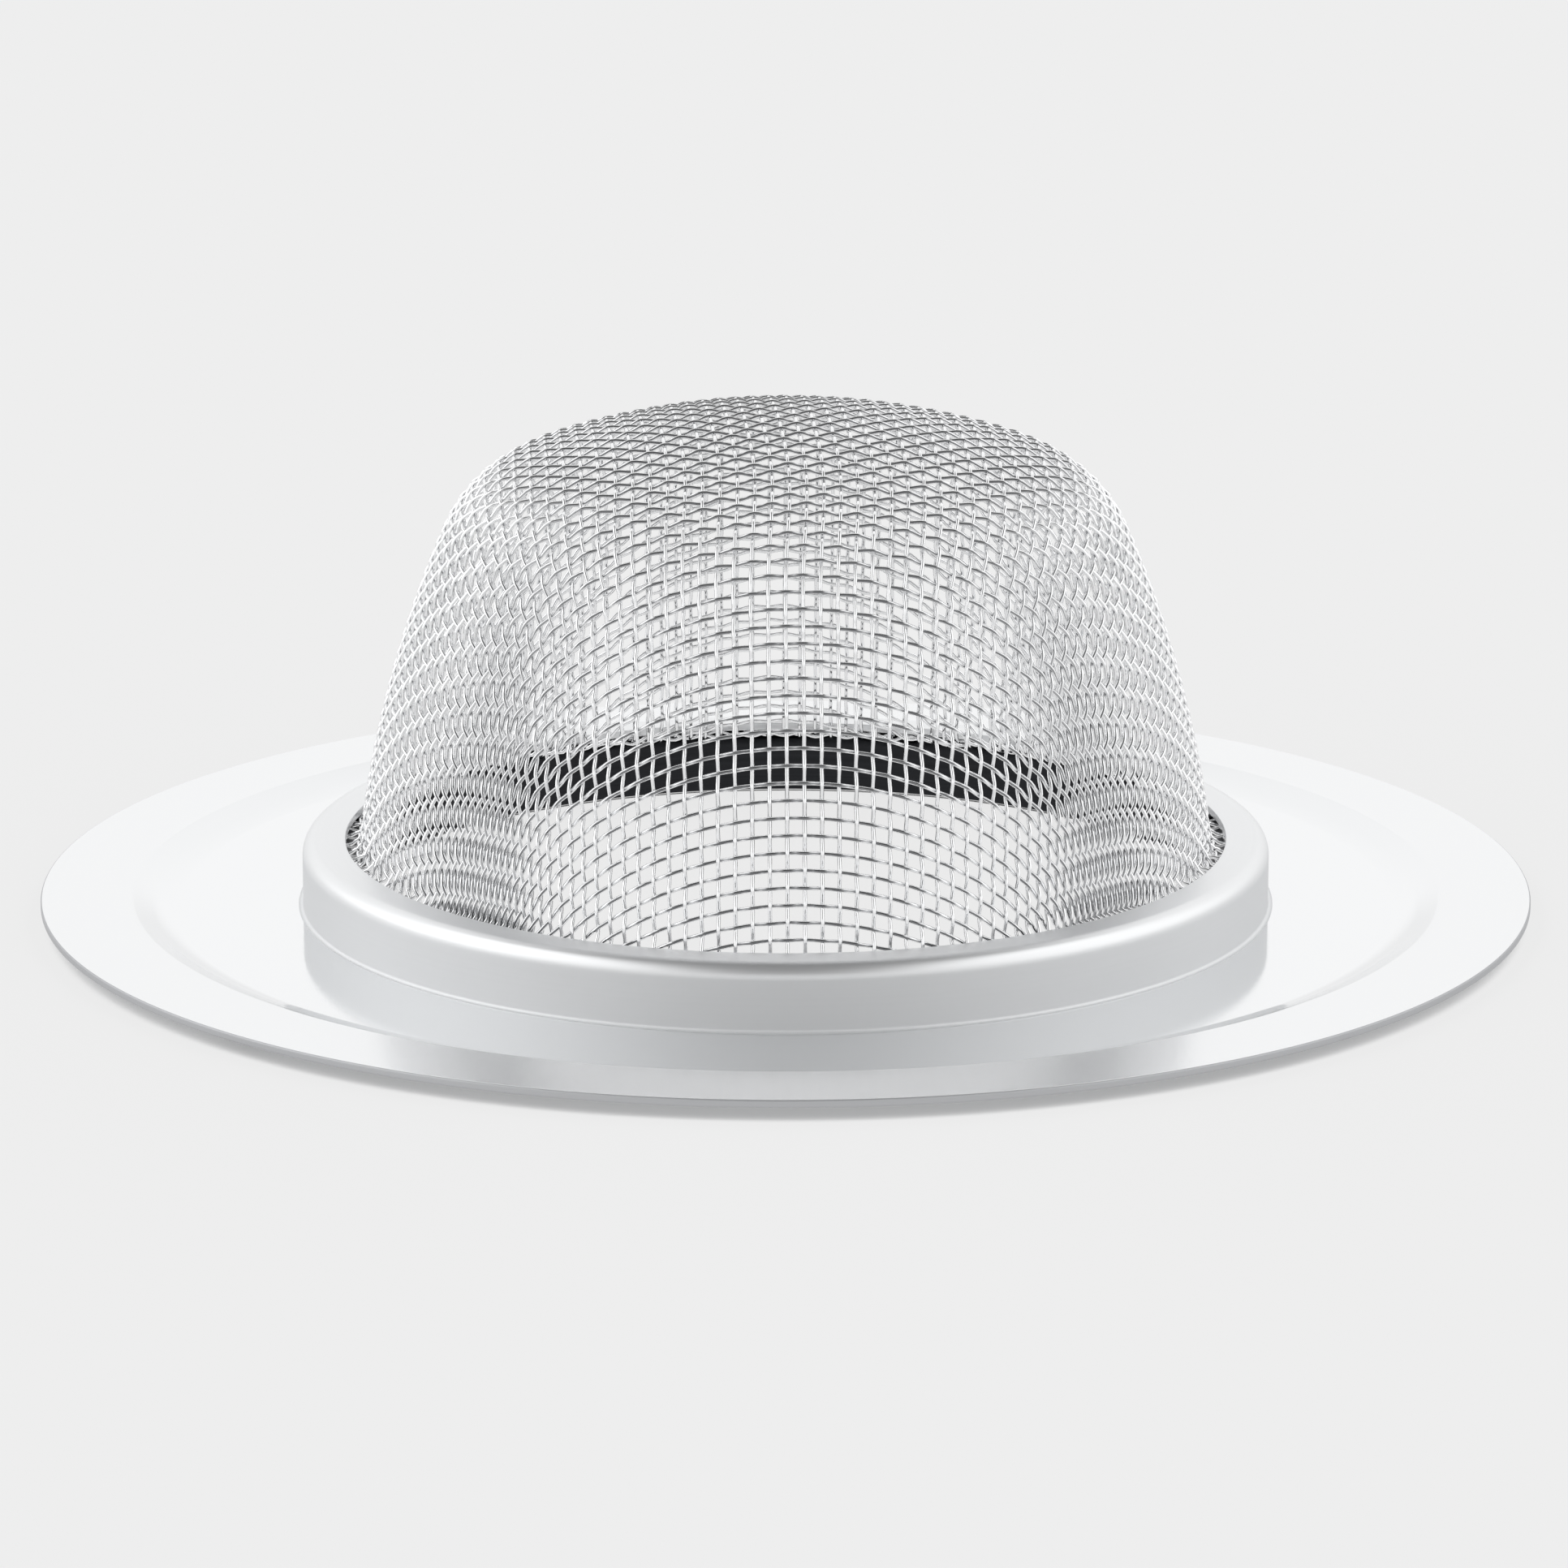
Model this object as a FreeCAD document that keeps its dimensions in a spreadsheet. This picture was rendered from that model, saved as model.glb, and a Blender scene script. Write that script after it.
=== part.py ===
import FreeCAD, Part
import math
import os
import Sketcher

# Sink strainer with a wide rim, set down rim first: the basket points up (+Z), the axis is Z,
# the front is -Y, and Z = 0 is the underside of the recessed ring of the rim. Millimetres.

SIZES = [
    ("sheet_thickness", 0.6, "stainless sheet of the rim"),
    ("collar_radius", 37.0, "outside of the collar, which drops into the drain"),
    ("collar_height", 5.1, "lip above the recessed ring"),
    ("foot_bend", 0.25, "bend at the foot of the collar, seen side"),
    ("lip_bend", 0.6, "bend between collar and lip, hidden side"),
    ("lip_width", 3.3, "lip that turns inwards from the collar"),
    ("recess_width", 13.0, "recessed ring from the collar to the crease"),
    ("brim_width", 7.0, "flat brim outside the crease"),
    ("brim_rise", 1.1, "flat brim above the recessed ring"),
    ("crease_run", 2.5, "width of the sloping step inside the crease"),
    ("crease_cove", 5.0, "radius where the step meets the recessed ring"),
    ("brim_edge_round", 0.15, "broken edge of the brim"),
    ("wire_diameter", 0.29, "one wire of the cloth"),
    ("wire_pitch", 1.27, "wire to wire, 20 wires to the inch"),
    ("wires_per_strand", 5, "wires that one strand of the coarse net stands for"),
    ("basket_depth", 32.9, "top of the basket above the lip"),
    ("mouth_gap", 0.45, "bore of the lip to the flare of the cloth"),
    ("flare_radius", 0.6, "bend of the cloth out under the lip"),
    ("wall_lean_degrees", 7.2, "lean of the cloth wall at the mouth"),
    ("wall_bow_radius", 87.0, "bow of the cloth wall"),
    ("shoulder_radius", 10.0, "bend between wall and crown"),
    ("crown_radius", 60.0, "bow of the crown"),
    ("hem_height", 0.7, "closed band of the net above the flare"),
    ("cloth_edge_gap", 0.1, "cloth edge to the bend inside the collar"),
    ("ring_thickness", 0.5, "sheet of the retaining ring"),
    ("ring_bend", 0.2, "bend of the retaining ring, inside"),
    ("ring_recess", 0.15, "lower edge of the retaining ring above the underside"),
    ("ring_setback", 0.1, "skirt of the retaining ring stands back from the lip's bore"),
    ("ring_fit", 0.03, "flange of the retaining ring to the collar's inside"),
]

# Heights and radii that several pieces share, as formulas on the sheet.
RECESS_TOP = "Sizes.sheet_thickness"
BRIM_TOP = "(Sizes.sheet_thickness + Sizes.brim_rise)"
LIP_TOP = "(Sizes.sheet_thickness + Sizes.collar_height)"
LIP_UNDER = "Sizes.collar_height"
CLOTH = "(2 * Sizes.wire_diameter)"
CLAMP_TOP = "(Sizes.collar_height - 2 * Sizes.wire_diameter)"
COLLAR_INSIDE = "(Sizes.collar_radius - Sizes.sheet_thickness)"
LIP_RADIUS = "(Sizes.collar_radius - Sizes.lip_width)"
CREASE_RADIUS = "(Sizes.collar_radius + Sizes.recess_width)"
STEP_RADIUS = "(Sizes.collar_radius + Sizes.recess_width - Sizes.crease_run)"
BRIM_RADIUS = "(Sizes.collar_radius + Sizes.recess_width + Sizes.brim_width)"


def make_sheet(doc):
    """Spreadsheet with one named cell per size."""
    sheet = doc.addObject("Spreadsheet::Sheet", "Sizes")
    for row, (alias, value, note) in enumerate(SIZES, start=1):
        sheet.set("A%d" % row, note)
        sheet.set("B%d" % row, str(value))
        sheet.setAlias("B%d" % row, alias)
    doc.recompute()
    return sheet


def size(sheet, formula):
    """Number that a formula on the sheet gives."""
    return float(sheet.evalExpression(formula))


def datum(body, role):
    """Plane or axis of a body's own origin."""
    return [item for item in body.Origin.OriginFeatures if item.Role == role][0]


def turned_body(doc, sheet, label, corners):
    """Body turned about Z from a straight-sided section; corners are (radius, height) formulas."""
    body = doc.addObject("PartDesign::Body", label)
    body.Label = label
    sketch = body.newObject("Sketcher::SketchObject", label + "_section")
    sketch.AttachmentSupport = (datum(body, "XZ_Plane"), [""])
    sketch.MapMode = "FlatFace"
    points = [FreeCAD.Vector(size(sheet, r), size(sheet, z), 0) for r, z in corners]
    count = len(points)
    for k in range(count):
        sketch.addGeometry(Part.LineSegment(points[k], points[(k + 1) % count]), False)
    for k in range(count):
        sketch.addConstraint(Sketcher.Constraint("Coincident", k, 2, (k + 1) % count, 1))
    for k, (radius, height) in enumerate(corners):
        index = sketch.addConstraint(Sketcher.Constraint("DistanceX", -1, 1, k, 1, points[k].x))
        sketch.setExpression("Constraints[%d]" % index, radius)
        if height == "0":
            sketch.addConstraint(Sketcher.Constraint("PointOnObject", k, 1, -1))
        else:
            index = sketch.addConstraint(Sketcher.Constraint("DistanceY", -1, 1, k, 1, points[k].y))
            sketch.setExpression("Constraints[%d]" % index, height)
    turn = body.newObject("PartDesign::Revolution", label + "_turned")
    turn.Profile = sketch
    turn.ReferenceAxis = (datum(body, "Z_Axis"), [""])
    turn.Angle = 360.0
    body.Tip = turn
    doc.recompute()
    return body


def round_corner(doc, sheet, body, name, radius, corners):
    """Bend radius on the circular edges at the given (radius, height) corners of a turned body."""
    base = body.Tip
    edges = []
    for r, z in corners:
        wanted_r = size(sheet, r)
        wanted_z = size(sheet, z)
        for k, edge in enumerate(base.Shape.Edges, start=1):
            if not isinstance(edge.Curve, Part.Circle):
                continue
            off = abs(edge.Curve.Radius - wanted_r) + abs(edge.Curve.Center.z - wanted_z)
            if off < 1e-5:
                edges.append("Edge%d" % k)
    fillet = body.newObject("PartDesign::Fillet", name)
    fillet.Base = (base, edges)
    fillet.Radius = size(sheet, radius)
    fillet.setExpression("Radius", radius)
    body.Tip = fillet
    doc.recompute()


def make_rim(doc, sheet):
    """Stamped sheet: flat brim, step at the crease, recessed ring, collar and inward lip."""
    corners = [
        (BRIM_RADIUS, BRIM_TOP),
        (CREASE_RADIUS, BRIM_TOP),
        (STEP_RADIUS, RECESS_TOP),
        ("Sizes.collar_radius", RECESS_TOP),
        ("Sizes.collar_radius", LIP_TOP),
        (LIP_RADIUS, LIP_TOP),
        (LIP_RADIUS, LIP_UNDER),
        (COLLAR_INSIDE, LIP_UNDER),
        (COLLAR_INSIDE, "0"),
        (STEP_RADIUS, "0"),
        (CREASE_RADIUS, "Sizes.brim_rise"),
        (BRIM_RADIUS, "Sizes.brim_rise"),
    ]
    body = turned_body(doc, sheet, "rim", corners)
    bends = [
        ("cove_seen", "Sizes.crease_cove", [(STEP_RADIUS, RECESS_TOP)]),
        ("cove_under", "Sizes.crease_cove + Sizes.sheet_thickness", [(STEP_RADIUS, "0")]),
        ("foot_seen", "Sizes.foot_bend", [("Sizes.collar_radius", RECESS_TOP)]),
        ("foot_under", "Sizes.foot_bend + Sizes.sheet_thickness", [(COLLAR_INSIDE, "0")]),
        ("lip_seen", "Sizes.lip_bend + Sizes.sheet_thickness", [("Sizes.collar_radius", LIP_TOP)]),
        ("lip_under", "Sizes.lip_bend", [(COLLAR_INSIDE, LIP_UNDER)]),
        ("brim_edge", "Sizes.brim_edge_round", [(BRIM_RADIUS, BRIM_TOP), (BRIM_RADIUS, "Sizes.brim_rise")]),
    ]
    for name, radius, places in bends:
        round_corner(doc, sheet, body, name, radius, places)
    return body


def make_retaining_ring(doc, sheet):
    """Angle-section ring inside the collar: its flange presses the edge of the cloth against the
    lip, its skirt hangs at the bore and is the inner wall that shows through the cloth."""
    flange_under = "(%s - Sizes.ring_thickness)" % CLAMP_TOP
    outside = "(%s - Sizes.ring_fit)" % COLLAR_INSIDE
    bore = "(%s + Sizes.ring_setback)" % LIP_RADIUS
    skirt_outside = "(%s + Sizes.ring_setback + Sizes.ring_thickness)" % LIP_RADIUS
    corners = [
        (outside, CLAMP_TOP),
        (bore, CLAMP_TOP),
        (bore, "Sizes.ring_recess"),
        (skirt_outside, "Sizes.ring_recess"),
        (skirt_outside, flange_under),
        (outside, flange_under),
    ]
    body = turned_body(doc, sheet, "retaining_ring", corners)
    bend_outside = "Sizes.ring_bend + Sizes.ring_thickness"
    round_corner(doc, sheet, body, "ring_bend_outside", bend_outside, [(bore, CLAMP_TOP)])
    round_corner(doc, sheet, body, "ring_bend_inside", "Sizes.ring_bend", [(skirt_outside, flange_under)])
    return body


class Meridian:
    """Outside of the drawn cloth from the crown to the flare: three bows that run into one another."""

    def __init__(self, sheet):
        self.cloth = size(sheet, CLOTH)
        self.lip_under = size(sheet, LIP_UNDER)
        self.flare = size(sheet, "Sizes.flare_radius")
        self.lean = math.radians(size(sheet, "Sizes.wall_lean_degrees"))
        self.crown = size(sheet, "Sizes.crown_radius")
        self.shoulder = size(sheet, "Sizes.shoulder_radius")
        self.bow = size(sheet, "Sizes.wall_bow_radius")
        self.mouth = size(sheet, "%s - Sizes.mouth_gap - Sizes.flare_radius" % LIP_RADIUS)
        self.height = size(sheet, "%s + Sizes.basket_depth" % LIP_TOP)
        self.foot_z = self.lip_under + self.flare * (1.0 - math.sin(self.lean))
        self.crown_z = self.height - self.crown
        self.bow_r = self.mouth - self.bow * math.cos(self.lean)
        self.bow_z = self.foot_z - self.bow * math.sin(self.lean)
        self.place_shoulder()

    def place_shoulder(self):
        """Centre of the shoulder bend, which touches the wall's bow and the crown's bow from inside."""
        to_bow = self.bow - self.shoulder
        to_crown = self.crown - self.shoulder
        apart = math.hypot(self.bow_r, self.crown_z - self.bow_z)
        along = (to_bow ** 2 - to_crown ** 2 + apart ** 2) / (2.0 * apart)
        aside = math.sqrt(to_bow ** 2 - along ** 2)
        unit_r = -self.bow_r / apart
        unit_z = (self.crown_z - self.bow_z) / apart
        self.shoulder_r = self.bow_r + along * unit_r - aside * unit_z
        self.shoulder_z = self.bow_z + along * unit_z + aside * unit_r
        self.crown_turn = math.atan2(self.shoulder_r, self.shoulder_z - self.crown_z)
        self.wall_turn = math.atan2(self.shoulder_r - self.bow_r, self.shoulder_z - self.bow_z)
        self.foot_turn = math.pi / 2.0 - self.lean
        self.crown_run = self.crown * self.crown_turn
        self.shoulder_run = self.shoulder * (self.wall_turn - self.crown_turn)
        self.wall_run = self.bow * (self.foot_turn - self.wall_turn)
        self.run = self.crown_run + self.shoulder_run + self.wall_run

    def on_bow(self, turn, centre_r, centre_z, radius, depth):
        """Point (radius, height) at a turn from the axis, a depth below the outside of the cloth."""
        reach = radius - depth
        return centre_r + reach * math.sin(turn), centre_z + reach * math.cos(turn)

    def at(self, run, depth):
        """Point (radius, height) and turn at a run from the crown, a depth below the outside."""
        if run <= self.crown_run:
            turn = run / self.crown
            place = self.on_bow(turn, 0.0, self.crown_z, self.crown, depth)
        elif run <= self.crown_run + self.shoulder_run:
            turn = self.crown_turn + (run - self.crown_run) / self.shoulder
            place = self.on_bow(turn, self.shoulder_r, self.shoulder_z, self.shoulder, depth)
        else:
            turn = self.wall_turn + (run - self.crown_run - self.shoulder_run) / self.bow
            place = self.on_bow(turn, self.bow_r, self.bow_z, self.bow, depth)
        return place, turn

    def arcs(self, depth):
        """Edges of the meridian from the crown to the mouth, a depth below the outside."""
        bows = [
            (0.0, self.crown_turn, 0.0, self.crown_z, self.crown),
            (self.crown_turn, self.wall_turn, self.shoulder_r, self.shoulder_z, self.shoulder),
            (self.wall_turn, self.foot_turn, self.bow_r, self.bow_z, self.bow),
        ]
        edges = []
        for start, end, centre_r, centre_z, radius in bows:
            points = []
            for turn in (start, 0.5 * (start + end), end):
                r, z = self.on_bow(turn, centre_r, centre_z, radius, depth)
                points.append(FreeCAD.Vector(r, 0, z))
            edges.append(Part.Arc(points[0], points[1], points[2]).toShape())
        return edges


def flare_arc(meridian, depth):
    """Edge of the bend that turns the wall out under the lip."""
    centre_r = meridian.mouth + meridian.flare * math.cos(meridian.lean)
    centre_z = meridian.lip_under + meridian.flare
    reach = meridian.flare + depth
    points = []
    start = math.pi + meridian.lean
    end = 1.5 * math.pi
    for angle in (start, 0.5 * (start + end), end):
        points.append(FreeCAD.Vector(centre_r + reach * math.cos(angle), 0, centre_z + reach * math.sin(angle)))
    return Part.Arc(points[0], points[1], points[2]).toShape()


def cloth_shell(sheet, meridian):
    """Closed shell of the drawn cloth: crown, shoulder, wall and the edge flared under the lip."""
    edge_radius = size(sheet, "%s - Sizes.lip_bend - Sizes.cloth_edge_gap" % COLLAR_INSIDE)
    outside = meridian.arcs(0.0) + [flare_arc(meridian, 0.0)]
    inside = meridian.arcs(meridian.cloth) + [flare_arc(meridian, meridian.cloth)]
    upper = FreeCAD.Vector(edge_radius, 0, meridian.lip_under)
    lower = FreeCAD.Vector(edge_radius, 0, meridian.lip_under - meridian.cloth)
    edges = list(outside)
    edges.append(Part.makeLine(outside[-1].Vertexes[-1].Point, upper))
    edges.append(Part.makeLine(upper, lower))
    edges.append(Part.makeLine(lower, inside[-1].Vertexes[-1].Point))
    edges.extend(inside)
    edges.append(Part.makeLine(outside[0].Vertexes[0].Point, inside[0].Vertexes[0].Point))
    wire = Part.Wire(Part.__sortEdges__(edges))
    return Part.Face(wire).revolve(FreeCAD.Vector(0, 0, 0), FreeCAD.Vector(0, 0, 1), 360)


def in_space(meridian, run, round_angle, depth):
    """Point on the cloth at a run from the crown and an angle about the axis."""
    (r, z), turn = meridian.at(run, depth)
    return FreeCAD.Vector(r * math.cos(round_angle), r * math.sin(round_angle), z)


def next_crossing(meridian, step, depth, before, left, right):
    """Crossing one step from its two neighbours along both wire directions, on the drawn cloth.

    The wires do not stretch, so the square cells of the flat cloth shear as it is drawn.
    """
    run = left[0] + right[0] - before[0]
    angle = 0.5 * (left[1] + right[1])
    at_left = in_space(meridian, left[0], left[1], depth)
    at_right = in_space(meridian, right[0], right[1], depth)
    nudge = 1e-5
    for turn in range(40):
        here = in_space(meridian, run, angle, depth)
        miss_left = (here - at_left).Length - step
        miss_right = (here - at_right).Length - step
        if abs(miss_left) + abs(miss_right) < 1e-9:
            break
        further = in_space(meridian, run + nudge, angle, depth)
        around = in_space(meridian, run, angle + nudge, depth)
        a = ((further - at_left).Length - step - miss_left) / nudge
        b = ((around - at_left).Length - step - miss_left) / nudge
        c = ((further - at_right).Length - step - miss_right) / nudge
        d = ((around - at_right).Length - step - miss_right) / nudge
        scale = a * d - b * c
        run = run - (d * miss_left - b * miss_right) / scale
        angle = angle - (a * miss_right - c * miss_left) / scale
    return run, angle


def drape(meridian, step, depth):
    """Crossings of one quarter of the net, by their steps along the two wire directions."""
    crossings = {(0, 0): (0.0, math.pi / 4.0)}
    limit = meridian.run + 3.0 * step
    reach = int(limit / step)
    for k in range(1, reach + 1):
        crossings[(k, 0)] = (k * step, 0.0)
        crossings[(0, k)] = (k * step, math.pi / 2.0)
    for i in range(1, reach + 1):
        for j in range(1, reach + 1):
            near = [crossings.get((i - 1, j - 1)), crossings.get((i - 1, j)), crossings.get((i, j - 1))]
            if None in near:
                continue
            run, angle = next_crossing(meridian, step, depth, near[0], near[1], near[2])
            if run < limit:
                crossings[(i, j)] = (run, angle)
    return crossings


def mirrored(meridian, crossings, i, j, depth):
    """Crossing of any quarter, from the quarter that was draped; None past the mouth."""
    found = crossings.get((abs(i), abs(j)))
    if found is None:
        return None
    point = in_space(meridian, found[0], found[1], depth)
    return FreeCAD.Vector(math.copysign(point.x, i), math.copysign(point.y, j), point.z)


def above(points, height):
    """Part of a closed outline that lies above a height."""
    kept = []
    for k, here in enumerate(points):
        after = points[(k + 1) % len(points)]
        if here.z >= height:
            kept.append(here)
        if (here.z - height) * (after.z - height) < 0.0:
            share = (height - here.z) / (after.z - here.z)
            kept.append(here + (after - here) * share)
    return kept


def gap_prism(outline, centre, normal, reach):
    """Straight-sided plug that opens one gap of the net, square to the cloth."""
    flat = [p - normal * ((p - centre).dot(normal) + reach) for p in outline]
    face = Part.Face(Part.makePolygon(flat + [flat[0]]))
    return face.extrude(normal * (2.0 * reach))


def net_gaps(sheet, meridian):
    """Plugs for all the gaps between the strands, one gap on the axis and the rest around it."""
    step = size(sheet, "Sizes.wires_per_strand * Sizes.wire_pitch / 2")
    share = size(sheet, "1 - Sizes.wire_diameter / Sizes.wire_pitch")
    depth = 0.5 * meridian.cloth
    hem = meridian.foot_z + size(sheet, "Sizes.hem_height")
    reach = meridian.cloth + step ** 2 / meridian.shoulder
    crossings = drape(meridian, step, depth)
    span = max(i for i, j in crossings)
    plugs = []
    for i in range(-span, span + 1):
        for j in range(-span, span + 1):
            if i % 2 or j % 2:
                continue
            centre = mirrored(meridian, crossings, i, j, depth)
            corners = [(i + 1, j + 1), (i - 1, j + 1), (i - 1, j - 1), (i + 1, j - 1)]
            posts = [mirrored(meridian, crossings, a, b, depth) for a, b in corners]
            if centre is None or None in posts:
                continue
            outline = above([centre + (post - centre) * share for post in posts], hem)
            if len(outline) < 3:
                continue
            middle = FreeCAD.Vector()
            for point in outline:
                middle = middle + point * (1.0 / len(outline))
            normal = (outline[1] - outline[0]).cross(outline[2] - outline[0]).normalize()
            plugs.append(gap_prism(outline, middle, normal, reach))
    return plugs


def make_mesh_basket(doc, sheet):
    """Drawn wire cloth as one coarse net: each strand stands for a few wires, so it is as open."""
    meridian = Meridian(sheet)
    shell = cloth_shell(sheet, meridian)
    plugs = net_gaps(sheet, meridian)
    net = shell.cut(Part.makeCompound(plugs))
    basket = doc.addObject("Part::Feature", "mesh_basket")
    basket.Label = "mesh_basket"
    basket.Shape = net.Solids[0]
    basket.Placement = FreeCAD.Placement()
    print("mesh_basket: %d gaps, %d solid" % (len(plugs), len(net.Solids)))
    return basket


def check(doc, pieces):
    """Stop when any step of the model failed or any piece is not one valid solid."""
    for item in doc.Objects:
        bad = [state for state in item.State if state in ("Invalid", "Error")]
        if bad:
            raise RuntimeError("%s: %s" % (item.Name, bad))
    for piece in pieces:
        shape = piece.Shape
        if shape.isNull() or not shape.isValid() or len(shape.Solids) != 1:
            raise RuntimeError("%s is not one valid solid" % piece.Label)


os.makedirs("parts", exist_ok=True)
doc = FreeCAD.newDocument("sink_strainer")
sheet = make_sheet(doc)
pieces = [make_rim(doc, sheet), make_retaining_ring(doc, sheet), make_mesh_basket(doc, sheet)]
for piece in pieces:
    piece.Placement = FreeCAD.Placement()
doc.recompute()
check(doc, pieces)
for piece in pieces:
    piece.Shape.exportStep("parts/%s.step" % piece.Label)
    print("%s: %.1f cubic mm" % (piece.Label, piece.Shape.Volume))
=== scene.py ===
import logging
import math
from dataclasses import dataclass, field
from enum import Enum
from typing import Any, Iterator, Optional

import bmesh
import bpy
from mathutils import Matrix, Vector


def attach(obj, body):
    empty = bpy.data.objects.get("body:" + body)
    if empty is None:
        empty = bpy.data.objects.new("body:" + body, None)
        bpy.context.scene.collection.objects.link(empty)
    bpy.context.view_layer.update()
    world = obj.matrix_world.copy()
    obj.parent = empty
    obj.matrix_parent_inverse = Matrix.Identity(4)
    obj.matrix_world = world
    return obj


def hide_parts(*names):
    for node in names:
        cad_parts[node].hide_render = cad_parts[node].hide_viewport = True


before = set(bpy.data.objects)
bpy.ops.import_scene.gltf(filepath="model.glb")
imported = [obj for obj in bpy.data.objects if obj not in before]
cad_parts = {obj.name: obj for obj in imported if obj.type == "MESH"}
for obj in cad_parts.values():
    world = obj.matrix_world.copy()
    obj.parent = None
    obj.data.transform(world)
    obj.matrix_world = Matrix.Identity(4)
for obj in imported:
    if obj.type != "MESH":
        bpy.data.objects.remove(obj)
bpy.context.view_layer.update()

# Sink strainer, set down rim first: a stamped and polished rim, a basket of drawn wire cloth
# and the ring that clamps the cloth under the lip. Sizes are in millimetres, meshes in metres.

LOG = logging.getLogger("sink_strainer")
MM = 0.001
BODY = "root"
FULL_TURN = 2.0 * math.pi


def linear(hex_colour: str) -> tuple[float, float, float, float]:
    """Turn an sRGB hex colour into linear light.

    Args:
        hex_colour: colour as "#RRGGBB".

    Returns:
        Linear red, green, blue and an alpha of 1.
    """
    channels = []
    for start in (1, 3, 5):
        value = int(hex_colour[start:start + 2], 16) / 255.0
        channels.append(value / 12.92 if value <= 0.04045 else ((value + 0.055) / 1.055) ** 2.4)
    return channels[0], channels[1], channels[2], 1.0


def add_node(
    tree: bpy.types.NodeTree,
    kind: str,
    settings: Optional[dict[str, Any]] = None,
    sockets: Optional[dict[Any, Any]] = None,
) -> bpy.types.Node:
    """Add one node with its settings and links.

    Args:
        tree: node tree that gets the node.
        kind: node type.
        settings: node properties by name.
        sockets: input sockets by name or index, each a value or the output that feeds it.

    Returns:
        The new node.
    """
    node = tree.nodes.new(kind)
    for name, value in (settings or {}).items():
        setattr(node, name, value)
    for key, value in (sockets or {}).items():
        if isinstance(value, bpy.types.NodeSocket):
            tree.links.new(value, node.inputs[key])
        else:
            node.inputs[key].default_value = value
    return node


def new_material(name: str) -> tuple[bpy.types.Material, bpy.types.NodeTree, bpy.types.Node]:
    """Make a material with one metal-ready shader.

    Args:
        name: name of the material.

    Returns:
        The material, its node tree and its shader node.
    """
    material = bpy.data.materials.new(name)
    material.use_nodes = True
    tree = material.node_tree
    return material, tree, tree.nodes["Principled BSDF"]


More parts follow.
